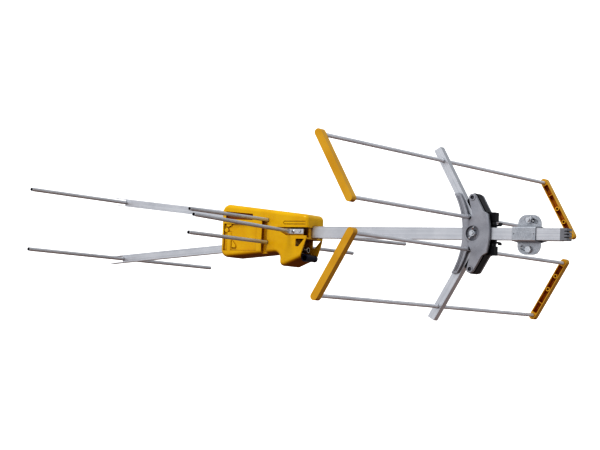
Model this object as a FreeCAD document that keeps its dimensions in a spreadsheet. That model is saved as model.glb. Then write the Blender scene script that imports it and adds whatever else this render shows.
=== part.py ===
"""Folding VHF yagi aerial with a mast clamp: every piece a solid of its own.

The frame has +X forward along the boom, towards the directors, +Z up and +Y towards
the side that the plug socket opens to. The origin lies on the mast's axis, level
with the boom, so the boom runs beside the mast at y = boom_y. Millimetres.
"""
import FreeCAD, Part
import math
import os
import re
import Sketcher

doc = FreeCAD.newDocument("yagi_aerial")
sheet = doc.addObject("Spreadsheet::Sheet", "Sizes")

# Driving sizes. Each alias is written once, and every feature below is bound to it.
SIZES = {
    # boom
    "boom_side": 20, "boom_wall": 1.5, "boom_tail": 64, "boom_nose": 470,
    "cap_length": 12, "cap_flange": 7.5, "cap_slot": 1.6, "cap_grip": 12,
    # saddle that carries the boom on the mast bracket
    "sheet_wall": 2, "saddle_length": 42, "ear_reach": 33, "ear_round": 15,
    "tilt_radius": 24.4, "tilt_sweep": 30, "pierce_x": 18, "pierce_radius": 0.9, "pierce_deep": 0.8,
    # mast, its bracket and its jaw
    "mast_radius": 20, "nut_room": 8, "plate_wall": 2.5, "bracket_half": 35.5, "bracket_neck": 29,
    "flange_half": 6.5, "bracket_tongue": 9, "bracket_shoulder": 15, "bracket_tab": 15,
    "bracket_tab_reach": 31, "jaw_pitch": 28, "jaw_travel": 14, "grip_from": 30, "grip_to": 78, "grip_lip": 4,
    # fasteners
    "bolt_radius": 3, "bolt_slack": 0.3, "bolt_head_radius": 5.5, "bolt_head_height": 1.7,
    "hex_across": 10, "hex_height": 4, "washer_radius": 6, "washer_wall": 1.2,
    "wing_hub_radius": 5.2, "wing_hub_height": 5.5, "wing_reach": 11.5, "wing_height": 9,
    "wing_wall": 2, "wing_corner": 2, "wing_turn": 12, "thread_gap": 0.05,
    # rods
    "rod_radius": 3.2, "rod_wall": 0.8, "fit_gap": 0.05, "part_gap": 0.3,
    # corner reflector
    "wing_x": 100, "wing_z": 26.7, "wing_angle": 30.4, "rod_pitch": 111.2,
    "upper_half": 402, "upper_shift": 3, "lower_half": 384, "lower_shift": 13,
    "arm_side": 13.5, "arm_wall": 1.2, "arm_tail": 7, "arm_tip": 23.5,
    "bar_width": 12, "bar_depth": 13, "bar_overhang": 8, "bar_wall": 1.6, "bar_floor": 2,
    "socket_depth": 9, "ring_radius": 4.1, "ring_bore": 2.2, "rib_wall": 1.4,
    # cast bracket that carries the reflector
    "cast_base": 3, "cast_rise": 7, "cast_gap": 0.2, "pin_x": 93.5, "pin_z": 59.6, "pin_radius": 2.5,
    "lug_radius": 6.4, "hub_x": 91, "hub_radius": 15, "hub_recess": 12.5, "hub_recess_depth": 4,
    "horn_x": 111.6, "horn_radius": 132, "horn_reach": 66.5, "horn_inner_x": 99,
    "horn_inner_radius": 118, "horn_root": 33, "crescent_x": 60.3, "crescent_radius": 140,
    "crescent_half": 32, "shoulder_x": 72.8, "shoulder_z": 37, "neck_x": 92.5, "neck_z": 30.7,
    "waist_x": 97.7, "waist_z": 19.3, "cast_edge": 3,
    "lug_ring": 5.4, "ring_rise": 0.8, "lug_bore": 3.4, "lug_sink": 2,
    "ridge_low": 24, "ridge_high": 63, "ridge_set": 2.5, "ridge_step": 2.6, "ridge_width": 0.9,
    # latch levers
    "latch_half": 9, "latch_disc": 7.6, "latch_cam": 14.1, "latch_head_half": 7,
    # dipole box: its tail is set by the boom's end, and the rest by its tail or its nose
    "box_grip": 66, "box_length": 177.5, "box_half": 30, "box_nose_top": 48.2, "box_tail_top": 29.7,
    "box_nose_base": 48, "step_base": 36.2, "lobe_run": 54.5, "lobe_base": 64.5,
    "foot_run": 13, "foot_z": 46.5, "nose_round": 14, "tail_round": 9, "step_round": 10, "lobe_round": 8,
    "box_edge": 7, "box_seam": 7, "seam_gap": 0.1, "box_wall": 3, "room_half": 20.5,
    "bay_depth": 36, "shelf_z": 13, "frame_half": 18,
    "gate_run": 59.5, "knee_run": 41, "gate_deep": 5, "boss_depth": 5,
    "sleeve_length": 30, "rod_slot": 8, "rod_slot_deep": 7,
    "panel_run": 74.5, "panel_length": 68, "panel_top": 12.4, "panel_base": 35, "panel_deep": 3,
    "hatch_run": 65.5, "hatch_length": 56, "hatch_low": 19, "hatch_high": 32, "hatch_rise": 2,
    "hatch_deep": 6.5, "column_run": 16.5, "column_radius": 6,
    "tongue_run": 49, "tongue_z": 15, "tongue_half": 3, "tongue_round": 3.2, "tongue_line": 1.1,
    "notch_run": 5, "notch_length": 17, "notch_drop": 13, "notch_foot": 6, "notch_deep": 3,
    # dipole, coax socket and boot
    "dipole_half": 352.3, "dipole_run": 34, "dipole_sweep": 3.4, "dipole_rise": 0.68,
    "blade_wall": 1.6, "blade_height": 8.4, "blade_length": 24, "bend_radius": 3, "neck_length": 12,
    "screw_back": 7, "rivet_back": 20, "screw_radius": 1.75, "screw_head": 3.5,
    "rivet_radius": 1.2, "rivet_head": 1.9, "head_height": 1.6,
    "socket_y": 8, "socket_z": 31.5, "socket_radius": 4.75, "socket_thread": 13, "socket_hex": 12,
    "socket_hex_height": 3, "socket_base": 6.4, "socket_length": 28, "socket_bore": 3.4,
    "boot_run": 5.2, "boot_z": 45.7, "boot_near": 25, "boot_far": 10, "boot_flare": 20, "boot_rim": 4,
    "boot_radius": 6.5, "boot_neck": 5.6, "boot_bore": 4.4, "eye_run": 24, "eye_width": 5, "eye_wall": 1.8,
    "board_wall": 1.6, "board_length": 30, "board_half": 20, "can_length": 20, "can_width": 30,
    "can_height": 9,
    # directors
    "short_run": 81, "short_z": 19.6, "short_half": 273, "front_run": 228.5, "front_z": 51.7,
    "front_half": 283, "spread": 5.5, "root_run": 81.5, "tip_reach": 28, "tip_slot": 33,
}
for row, (alias, size) in enumerate(SIZES.items(), start=1):
    sheet.set(f"A{row}", alias)
    sheet.set(f"B{row}", str(size))
    sheet.setAlias(f"B{row}", alias)

# Sizes that follow from the ones above.
DERIVED = {
    # the boom stands off the mast by the bolt heads' room, the two plates and half itself
    "boom_y": "=mast_radius + nut_room + plate_wall + sheet_wall + boom_side / 2",
    "half": "=boom_side / 2",
    "ear_y": "=half + sheet_wall",
    "plate_y": "=half + sheet_wall + plate_wall",
    "web_y": "=mast_radius + nut_room",
    "outer_x": "=wing_x + rod_pitch * sin(wing_angle)",
    "outer_z": "=wing_z + rod_pitch * cos(wing_angle)",
    "cast_inner": "=arm_side / 2 + part_gap",
    "box_tail": "=boom_nose - box_grip",
    "box_nose": "=box_tail + box_length",
    "wall_x": "=box_tail + bay_depth",
    "foot_x": "=box_tail + foot_run",
    "lobe_x": "=box_tail + lobe_run",
    "gate_knee": "=box_tail + knee_run",
    "gate_front": "=box_tail + gate_run",
    "tongue_nose": "=box_tail + tongue_run",
    "notch_x": "=box_tail + notch_run",
    "dipole_x": "=box_tail + dipole_run",
    "boot_x": "=box_tail + boot_run",
    "eye_x": "=box_tail + eye_run",
    "short_x": "=box_tail + short_run",
    "panel_tail": "=box_nose - panel_run",
    "panel_nose": "=panel_tail + panel_length",
    "hatch_tail": "=box_nose - hatch_run",
    "hatch_nose": "=hatch_tail + hatch_length",
    "column_x": "=box_nose - column_run",
    "director_root": "=box_nose - root_run",
    "front_x": "=box_nose + front_run",
    "director_tip": "=front_x + tip_reach",
    "lobe_fall": "=(lobe_base - foot_z) / (lobe_x - foot_x)",
    "blade_y": "=box_half - blade_wall",
    "bend_y": "=blade_y + blade_wall + bend_radius * (1 + sin(dipole_sweep))",
    "hole_shift": "=(bend_radius + blade_wall / 2) * sin(dipole_sweep)",
    "eye_low": "=boot_z - socket_z - socket_base - eye_wall",
    "horn_tip_x": "=horn_x + horn_radius - sqrt(horn_radius ^ 2 - horn_reach ^ 2)",
    "horn_low_x": "=horn_x + horn_radius - sqrt(horn_radius ^ 2 - (half + 1) ^ 2)",
    "tip_inner_x": "=horn_inner_x + horn_inner_radius - sqrt(horn_inner_radius ^ 2 - horn_reach ^ 2)",
    "root_inner_x": "=horn_inner_x + horn_inner_radius - sqrt(horn_inner_radius ^ 2 - horn_root ^ 2)",
    "crescent_end_x": "=crescent_x + crescent_radius - sqrt(crescent_radius ^ 2 - crescent_half ^ 2)",
    "rod_bore": "=rod_radius + fit_gap",
    "bolt_bore": "=bolt_radius + bolt_slack",
    "lean": "=tan(spread)",
    "root_z": "=front_z - (front_x - director_root) * lean",
    "grip_y": "=mast_radius * cos(grip_to)",
}
for row, (alias, rule) in enumerate(DERIVED.items(), start=len(SIZES) + 1):
    sheet.set(f"A{row}", alias)
    sheet.set(f"B{row}", rule)
    sheet.setAlias(f"B{row}", alias)
doc.recompute()

ALIASES = set(SIZES) | set(DERIVED)
PARTS = []


def size(rule):
    """The present value of a rule such as "boom_side / 2"."""
    value = sheet.evalExpression(str(rule))
    return float(getattr(value, "Value", value))


def bound(rule):
    """The rule written for any object of the document."""
    return re.sub(r"[a-z_]+", lambda word: f"Sizes.{word[0]}" if word[0] in ALIASES else word[0], str(rule))


def bind(item, **rules):
    """Bind properties of one object: bind(pad, Length="bar_depth")."""
    for name, rule in rules.items():
        item.setExpression(name, bound(rule))


def body(label, x="0", y="boom_y", z="0", turn=None, axis=(0, 1, 0)):
    """An empty body placed by rules; turn is the angle about the axis."""
    item = doc.addObject("PartDesign::Body", label)
    item.Label = label
    if turn is not None:
        item.Placement = FreeCAD.Placement(FreeCAD.Vector(), FreeCAD.Rotation(FreeCAD.Vector(*axis), 1))
        item.setExpression("Placement.Rotation.Angle", bound(turn))
    for axis, rule in zip("xyz", (x, y, z)):
        item.setExpression(f"Placement.Base.{axis}", bound(rule))
    PARTS.append(item)
    return item


def sketch(owner, plane, offset):
    """A sketch on one of the body's own planes, moved along that plane's normal."""
    drawing = owner.newObject("Sketcher::SketchObject", f"{owner.Label}_sketch")
    origin = next(o for o in owner.Origin.OriginFeatures if o.Role == f"{plane}_Plane")
    drawing.AttachmentSupport = (origin, [""])
    drawing.MapMode = "FlatFace"
    drawing.setExpression("AttachmentOffset.Base.z", bound(offset))
    return drawing


def place(drawing, geometry, position, x, y):
    """Fix one point of a sketch by two bound distances from its origin."""
    for kind, rule in (("DistanceX", x), ("DistanceY", y)):
        index = drawing.addConstraint(Sketcher.Constraint(kind, -1, 1, geometry, position, size(rule)))
        drawing.setExpression(f"Constraints[{index}]", bound(rule))


def outline(drawing, points):
    """A closed outline through points given as rules (x, y) or (x, y, radius).

    A radius makes the edge that leaves the point an arc: positive bends it outwards to
    the right of the way it goes, negative to the left.
    """
    first = drawing.GeometryCount
    spots = [FreeCAD.Vector(size(point[0]), size(point[1]), 0) for point in points]
    count = len(points)
    for i, point in enumerate(points):
        tail, head = spots[i], spots[(i + 1) % count]
        if len(point) == 2:
            drawing.addGeometry(Part.LineSegment(tail, head), False)
            continue
        radius = size(point[2])
        chord = head - tail
        right = FreeCAD.Vector(chord.y, -chord.x, 0).normalize()
        rise = abs(radius) - math.sqrt(radius ** 2 - chord.Length ** 2 / 4)
        crown = (tail + head) * 0.5 + right * math.copysign(rise, radius)
        turn_left = (tail, crown, head) if radius > 0 else (head, crown, tail)
        drawing.addGeometry(Part.Arc(*turn_left), False)
    # an arc is always drawn turning left, so one that bends the other way starts at its far end
    ends = [(2, 1) if len(point) == 3 and size(point[2]) < 0 else (1, 2) for point in points]
    for i in range(count):
        after = (i + 1) % count
        drawing.addConstraint(Sketcher.Constraint("Coincident", first + i, ends[i][1], first + after, ends[after][0]))
    for i, point in enumerate(points):
        place(drawing, first + i, ends[i][0], point[0], point[1])
    for i, point in enumerate(points):
        if len(point) == 3:
            held = drawing.addConstraint(Sketcher.Constraint("Radius", first + i, abs(size(point[2]))))
            drawing.setExpression(f"Constraints[{held}]", bound(point[2].lstrip("-")))


def circle(drawing, x, y, radius):
    """A circle whose centre and radius are rules."""
    spot = FreeCAD.Vector(size(x), size(y), 0)
    index = drawing.addGeometry(Part.Circle(spot, FreeCAD.Vector(0, 0, 1), size(radius)), False)
    place(drawing, index, 3, x, y)
    held = drawing.addConstraint(Sketcher.Constraint("Radius", index, size(radius)))
    drawing.setExpression(f"Constraints[{held}]", bound(radius))


def box_points(x_low, x_high, y_low, y_high):
    """The four corners of an upright rectangle."""
    return [(x_low, y_low), (x_high, y_low), (x_high, y_high), (x_low, y_high)]


def solid(owner, plane, low, high, draw, cut=False):
    """Pad or pocket what draw(sketch) draws, between two levels across the plane."""
    # the XZ plane faces -Y, so there a level counts the other way
    start = f"-({high})" if plane == "XZ" else low
    drawing = sketch(owner, plane, start)
    draw(drawing)
    feature = owner.newObject(f"PartDesign::{'Pocket' if cut else 'Pad'}", f"{owner.Label}_step")
    feature.Profile = drawing
    bind(feature, Length=f"({high}) - ({low})")
    feature.Reversed = cut
    drawing.Visibility = False
    return feature


def slab(owner, plane, low, high, points, cut=False):
    return solid(owner, plane, low, high, lambda drawing: outline(drawing, points), cut)


def rounds(owner, plane, low, high, circles, cut=False):
    """One or more round pads or holes, each (x, y, radius)."""
    def draw(drawing):
        for x, y, radius in circles:
            circle(drawing, x, y, radius)
    return solid(owner, plane, low, high, draw, cut)


def soften(owner, radius, picks):
    """Round the edges of the body so far that picks(edge) chooses."""
    doc.recompute()
    base = owner.Tip
    names = [f"Edge{i}" for i, edge in enumerate(base.Shape.Edges, start=1) if picks(edge)]
    feature = owner.newObject("PartDesign::Fillet", f"{owner.Label}_round")
    feature.Base = (base, names)
    bind(feature, Radius=radius)
    return feature


def along(axis, spots, slack=0.4):
    """Chooses straight edges along an axis (0, 1 or 2) through spots given by rules."""
    others = [i for i in range(3) if i != axis]
    wanted = [(size(u), size(v)) for u, v in spots]

    def picks(edge):
        ends = [vertex.Point for vertex in edge.Vertexes]
        if len(ends) != 2 or any(abs(ends[0][i] - ends[1][i]) > 1e-4 for i in others):
            return False
        return any(math.dist([ends[0][i] for i in others], spot) < slack for spot in wanted)
    return picks


def tube(label, x, z, half_length, y="boom_y"):
    """A hollow round rod across the boom."""
    item = body(label, x, y, z)
    rounds(item, "XZ", f"-({half_length})", half_length,
           [("0", "0", "rod_radius"), ("0", "0", "rod_radius - rod_wall")])
    return item


# Boom: square tube, closed at the tail by a slotted plastic cap.
boom = body("boom_tube")
slab(boom, "YZ", "-boom_tail", "boom_nose", box_points("-half", "half", "-half", "half"))
slab(boom, "YZ", "-boom_tail", "boom_nose",
     box_points("-half + boom_wall", "half - boom_wall", "-half + boom_wall", "half - boom_wall"), cut=True)

cap = body("boom_end_cap")
slab(cap, "YZ", "-boom_tail - cap_length", "-boom_tail", box_points("-half", "half", "-half", "half"))
slab(cap, "YZ", "-boom_tail", "-boom_tail + cap_grip",
     box_points("-half + boom_wall + fit_gap", "half - boom_wall - fit_gap",
                "-half + boom_wall + fit_gap", "half - boom_wall - fit_gap"))
for level in (-1, 0, 1):
    slab(cap, "XZ", "-half - 1", "half + 1",
         box_points("-boom_tail - cap_length - 1", "-boom_tail - cap_flange",
                    f"{level} * boom_side / 4 - cap_slot / 2", f"{level} * boom_side / 4 + cap_slot / 2"), cut=True)

# Saddle: one folded sheet round the boom, with an ear above and below it.
saddle = body("boom_saddle")
slab(saddle, "YZ", "-saddle_length / 2", "saddle_length / 2", [
    ("-ear_y", "ear_reach"), ("-half", "ear_reach"), ("-half", "half + sheet_wall"),
    ("half + sheet_wall", "half + sheet_wall"), ("half + sheet_wall", "-half - sheet_wall"),
    ("-half", "-half - sheet_wall"), ("-half", "-ear_reach"), ("-ear_y", "-ear_reach"),
    ("-ear_y", "-half - fit_gap"), ("half + fit_gap", "-half - fit_gap"),
    ("half + fit_gap", "half + fit_gap"), ("-ear_y", "half + fit_gap")])
soften(saddle, "ear_round", along(1, [(f"{side} * saddle_length / 2", f"{end} * ear_reach")
                                      for side in (-1, 1) for end in (-1, 1)]))
soften(saddle, "sheet_wall", along(0, [("half + sheet_wall", "half + sheet_wall"),
                                       ("half + sheet_wall", "-half - sheet_wall")]))
rounds(saddle, "XZ", "ear_y - pierce_deep", "ear_y + 1",
       [("pierce_x", "0", "pierce_radius"), ("-pierce_x", "0", "pierce_radius")], cut=True)
for end in (1, -1):
    # an arc about the boom's axis lets the tilt bolt travel; its ends are round
    drawing = sketch(saddle, "YZ", "0")
    outline(drawing, box_points("-ear_y - 1", "-half + 1", f"{end} * (tilt_radius - bolt_bore)",
                                f"{end} * (tilt_radius + bolt_bore)"))
    arc = saddle.newObject("PartDesign::Groove", "boom_saddle_slot")
    arc.Profile = drawing
    arc.ReferenceAxis = (drawing, ["H_Axis"])
    bind(arc, Angle="tilt_sweep")
    arc.Reversed = True
    rounds(saddle, "XZ", "-ear_y - 1", "-half + 1",
           [("0", f"{end} * tilt_radius", "bolt_bore"),
            (f"{-end} * tilt_radius * sin(tilt_sweep)", f"{end} * tilt_radius * cos(tilt_sweep)", "bolt_bore")],
           cut=True)


def grip(owner, facing):
    """The four flanges that close on the mast: facing is 1 on the bracket, -1 on the jaw."""
    reach = "bracket_neck"
    for side in (1, -1):
        for level in (1, -1):
            spots = [(f"{side} * (bracket_tab + 1)", f"{facing} * web_y"),
                     (f"{side} * mast_radius * sin(grip_from)", f"{facing} * (web_y - nut_room / 2)"),
                     (f"{side} * mast_radius * sin(grip_from)", "0"),
                     (f"{side} * (mast_radius + grip_lip)", f"{facing} * grip_y"),
                     (f"{side} * {reach}", f"{facing} * (grip_y + grip_lip)"),
                     (f"{side} * {reach}", f"{facing} * web_y")]
            low = "flange_half - plate_wall" if level > 0 else "-flange_half"
            high = "flange_half" if level > 0 else "-flange_half + plate_wall"
            slab(owner, "XY", low, high, spots)
    rounds(owner, "XY", "-flange_half - 1", "flange_half + 1",
           [("0", "0", "mast_radius")], cut=True)


# Mast bracket: a plate behind the saddle, with flanges whose edges grip the mast.
bracket = body("mast_bracket", y="0")
slab(bracket, "XZ", "web_y", "web_y + plate_wall", [
    ("bracket_tab", "bracket_tab_reach"), ("bracket_tab", "bracket_shoulder"),
    ("bracket_half", "bracket_tongue"), ("bracket_half", "-bracket_tongue"),
    ("bracket_tab", "-bracket_shoulder"), ("bracket_tab", "-bracket_tab_reach"),
    ("-bracket_tab", "-bracket_tab_reach"), ("-bracket_tab", "-bracket_shoulder"),
    ("-bracket_half", "-bracket_tongue"), ("-bracket_half", "bracket_tongue"),
    ("-bracket_tab", "bracket_shoulder"), ("-bracket_tab", "bracket_tab_reach")])
grip(bracket, 1)
rounds(bracket, "XZ", "web_y - 1", "web_y + plate_wall + 1",
       [("jaw_pitch", "0", "bolt_radius + fit_gap"), ("-jaw_pitch", "0", "bolt_radius + fit_gap"),
        ("0", "tilt_radius", "bolt_radius + fit_gap"), ("0", "-tilt_radius", "bolt_radius + fit_gap")], cut=True)
# the jaw bolts' flat heads lie flush in the plate, clear of the saddle that tilts over them
rounds(bracket, "XZ", "web_y + plate_wall - bolt_head_height", "web_y + plate_wall + 1",
       [("jaw_pitch", "0", "bolt_head_radius + fit_gap"), ("-jaw_pitch", "0", "bolt_head_radius + fit_gap")], cut=True)
soften(bracket, "plate_wall", along(1, [(f"{side} * bracket_tab", f"{end} * bracket_tab_reach")
                                        for side in (-1, 1) for end in (-1, 1)]))

# Mast jaw: the loose half, drawn up to the mast by two bolts.
jaw = body("mast_jaw", y="0")
slab(jaw, "XZ", "-web_y - plate_wall", "-web_y",
     box_points("-bracket_half", "bracket_half", "-flange_half", "flange_half"))
grip(jaw, -1)
rounds(jaw, "XZ", "-web_y - plate_wall - 1", "-web_y + 1",
       [("jaw_pitch", "0", "bolt_bore"), ("-jaw_pitch", "0", "bolt_bore")], cut=True)
soften(jaw, "plate_wall", along(1, [(f"{side} * bracket_half", f"{end} * flange_half")
                                    for side in (-1, 1) for end in (-1, 1)]))


def hexagon(drawing, across):
    """A hexagon about the sketch's origin, corners to the sides."""
    outline(drawing, [(f"{across} / 2 / cos(30) * cos({60 * i})", f"{across} / 2 / cos(30) * sin({60 * i})")
                      for i in range(6)])


def hex_nut(label, x, y, z, seat):
    """A hexagon nut whose face lies at the level seat, on the side away from the boom."""
    item = body(label, x, y, z)
    solid(item, "XZ", f"{seat} - hex_height", seat, lambda drawing: hexagon(drawing, "hex_across"))
    rounds(item, "XZ", f"{seat} - hex_height - 1", f"{seat} + 1",
           [("0", "0", "bolt_radius + thread_gap")], cut=True)
    return item


def wing_nut(label, x, y, z, facing, turn):
    """A hub with two raised wings; facing is the side of +Y that it rises to."""
    item = body(label, x, y, z, turn)
    base = ("0", "wing_hub_height") if facing > 0 else ("-wing_hub_height", "0")
    top = ("wing_hub_height / 3", "wing_height") if facing > 0 else ("-wing_height", "-wing_hub_height / 3")
    rounds(item, "XZ", *base, [("0", "0", "wing_hub_radius")])
    rise = 1 if facing > 0 else -1
    # a wing seen from its broad side: narrow at the hub, tall and round at the tip
    slab(item, "XY", "-wing_wall / 2", "wing_wall / 2", [
        ("-wing_reach + wing_corner", f"{rise} * wing_height"),
        ("-wing_reach", f"{rise} * (wing_height - wing_corner)"), ("-wing_reach", f"{rise} * wing_height / 2"),
        ("-wing_hub_radius + wing_wall / 4", f"{rise} * wing_wall / 4"),
        ("wing_hub_radius - wing_wall / 4", f"{rise} * wing_wall / 4"), ("wing_reach", f"{rise} * wing_height / 2"),
        ("wing_reach", f"{rise} * (wing_height - wing_corner)"),
        ("wing_reach - wing_corner", f"{rise} * wing_height"),
        ("wing_hub_radius - wing_wall / 2", f"{rise} * (wing_hub_height - wing_wall / 2)"),
        ("-wing_hub_radius + wing_wall / 2", f"{rise} * (wing_hub_height - wing_wall / 2)")])
    rounds(item, "XZ", "-wing_height - 1", "wing_height + 1", [("0", "0", "bolt_radius + thread_gap")], cut=True)
    return item


for name, side in (("front", 1), ("rear", -1)):
    # a jaw bolt: flat head flush in the bracket's plate, shank past the jaw's whole travel
    bolt = body(f"jaw_bolt_{name}", f"{side} * jaw_pitch", "0")
    rounds(bolt, "XZ", "-web_y - plate_wall - jaw_travel - hex_height", "web_y + plate_wall",
           [("0", "0", "bolt_radius")])
    rounds(bolt, "XZ", "web_y + plate_wall - bolt_head_height", "web_y + plate_wall",
           [("0", "0", "bolt_head_radius")])
    hex_nut(f"jaw_nut_{name}", f"{side} * jaw_pitch", "0", "0", "-web_y - plate_wall")

# Tilt bolts: the upper one takes a wing nut, the lower one a plain nut.
upper_bolt = body("tilt_bolt_upper", z="tilt_radius")
rounds(upper_bolt, "XZ", "-plate_y", "-half + wing_height + 1", [("0", "0", "bolt_radius")])
solid(upper_bolt, "XZ", "-plate_y - hex_height", "-plate_y", lambda drawing: hexagon(drawing, "hex_across"))
upper_washer = body("tilt_washer_upper", z="tilt_radius")
rounds(upper_washer, "XZ", "-half", "-half + washer_wall",
       [("0", "0", "washer_radius"), ("0", "0", "bolt_radius + thread_gap")])
wing_nut("tilt_wing_nut", "0", "boom_y - half + washer_wall", "tilt_radius", 1, "-wing_turn")
lower_bolt = body("tilt_bolt_lower", z="-tilt_radius")
rounds(lower_bolt, "XZ", "-plate_y - hex_height - 1", "-half + washer_wall", [("0", "0", "bolt_radius")])
solid(lower_bolt, "XZ", "-half + washer_wall", "-half + washer_wall + hex_height",
      lambda drawing: hexagon(drawing, "hex_across"))
lower_washer = body("tilt_washer_lower", z="-tilt_radius")
rounds(lower_washer, "XZ", "-half", "-half + washer_wall",
       [("0", "0", "washer_radius"), ("0", "0", "bolt_radius + thread_gap")])
hex_nut("tilt_nut_lower", "0", "boom_y", "-tilt_radius", "-plate_y")


# Cast bracket: two mirrored halves bolted through the boom, with horns beside the arms.
def cast_half(label, side):
    item = body(label)

    def level(low, high):
        return (low, high) if side > 0 else (f"-({high})", f"-({low})")
    # base: two horns that lie over the arms' forward edges, joined across the boom
    slab(item, "XZ", *level("half + cast_gap", "half + cast_base"), [
        ("horn_tip_x", "horn_reach", "horn_radius"), ("horn_tip_x", "-horn_reach"),
        ("tip_inner_x", "-horn_reach", "-horn_inner_radius"), ("root_inner_x", "-horn_root"),
        ("waist_x - 2", "-waist_z"), ("waist_x - 2", "waist_z"),
        ("root_inner_x", "horn_root", "-horn_inner_radius"), ("tip_inner_x", "horn_reach")])
    # raised crescent between the two lugs
    slab(item, "XZ", *level("half + cast_gap", "half + cast_rise"), [
        ("pin_x + lug_radius", "pin_z - 1"), ("neck_x", "neck_z"), ("waist_x", "waist_z"),
        ("waist_x", "-waist_z"), ("neck_x", "-neck_z"), ("pin_x + lug_radius", "-pin_z + 1"),
        ("pin_x - lug_radius * cos(wing_angle)", "-pin_z - lug_radius * sin(wing_angle)"),
        ("shoulder_x", "-shoulder_z"), ("crescent_end_x", "-crescent_half", "-crescent_radius"),
        ("crescent_end_x", "crescent_half"), ("shoulder_x", "shoulder_z"),
        ("pin_x - lug_radius * cos(wing_angle)", "pin_z + lug_radius * sin(wing_angle)")])
    soften(item, "cast_edge", lambda edge: abs(edge.CenterOfMass.x - size("crescent_x")) < 2
           and all(abs(abs(vertex.Point.y) - size("half + cast_rise")) < 1e-3 for vertex in edge.Vertexes))
    rounds(item, "XZ", *level("half + cast_gap", "half + cast_rise"), [("pin_x", "pin_z", "lug_radius")])
    rounds(item, "XZ", *level("half + cast_gap", "half + cast_rise"), [("pin_x", "-pin_z", "lug_radius")])
    rounds(item, "XZ", *level("half + cast_gap", "half + cast_rise"), [("hub_x", "0", "hub_radius")])
    # a ring round each lug's hole, which is sunk to the pin's end
    rounds(item, "XZ", *level("half + cast_rise", "half + cast_rise + ring_rise"),
           [("pin_x", "pin_z", "lug_ring"), ("pin_x", "-pin_z", "lug_ring")])
    rounds(item, "XZ", *level("half + cast_rise - lug_sink", "half + cast_rise + 1"),
           [("pin_x", "pin_z", "lug_bore"), ("pin_x", "-pin_z", "lug_bore")], cut=True)
    # two fine ridges along each horn's forward edge
    for end in (1, -1):
        for place_in in ("ridge_set", "(ridge_set + ridge_step)"):
            def ridge(z, inset):
                return f"horn_x + horn_radius - sqrt((horn_radius + {inset}) ^ 2 - ({z}) ^ 2)", f"{end} * ({z})"
            fore, aft = place_in, f"({place_in} + ridge_width)"
            first, last = ("ridge_high", "ridge_low") if end > 0 else ("ridge_low", "ridge_high")
            slab(item, "XZ", *level("half + cast_base - 0.5", "half + cast_base + ring_rise"), [
                (*ridge(first, aft), f"(horn_radius + {aft})"), ridge(last, aft),
                (*ridge(last, fore), f"-(horn_radius + {fore})"), ridge(first, fore)])
    # cheeks that take up the room beside each narrower arm
    for end in (1, -1):
        slab(item, "XZ", *level("cast_inner", "half + cast_gap + 0.5"), [
            ("horn_low_x", f"{end} * (half + 1)", f"{-end} * horn_radius"),
            ("horn_tip_x", f"{end} * horn_reach"),
            ("tip_inner_x", f"{end} * horn_reach", f"{end} * horn_inner_radius"),
            ("root_inner_x", f"{end} * horn_root"), ("neck_x", f"{end} * (wing_z - 2)"),
            ("neck_x", f"{end} * (half + 1)")])
    rounds(item, "XZ", *level("half + cast_rise - hub_recess_depth", "half + cast_rise + 1"),
           [("hub_x", "0", "hub_recess")], cut=True)
    rounds(item, "XZ", *level("0", "half + cast_rise + 1"),
           [("hub_x", "0", "bolt_radius + fit_gap"), ("pin_x", "pin_z", "pin_radius + fit_gap"),
            ("pin_x", "-pin_z", "pin_radius + fit_gap"), ("wing_x", "wing_z", "rod_bore"),
            ("wing_x", "-wing_z", "rod_bore")], cut=True)
    return item


cast_half("bracket_shell_near", 1)
cast_half("bracket_shell_far", -1)

hub_bolt = body("bracket_bolt", "hub_x")
rounds(hub_bolt, "XZ", "-half - cast_rise + hub_recess_depth",
       "half + cast_rise - hub_recess_depth + washer_wall + wing_hub_height + 2", [("0", "0", "bolt_radius")])
solid(hub_bolt, "XZ", "-half - cast_rise + hub_recess_depth - hex_height", "-half - cast_rise + hub_recess_depth",
      lambda drawing: hexagon(drawing, "hex_across"))
hub_washer = body("bracket_washer", "hub_x")
rounds(hub_washer, "XZ", "half + cast_rise - hub_recess_depth", "half + cast_rise - hub_recess_depth + washer_wall",
       [("0", "0", "washer_radius"), ("0", "0", "bolt_radius + thread_gap")])
wing_nut("bracket_wing_nut", "hub_x", "boom_y + half + cast_rise - hub_recess_depth + washer_wall", "0", 1, "70")
rounds(boom, "XZ", "-half - 1", "half + 1", [("hub_x", "0", "bolt_radius + fit_gap")], cut=True)

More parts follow.
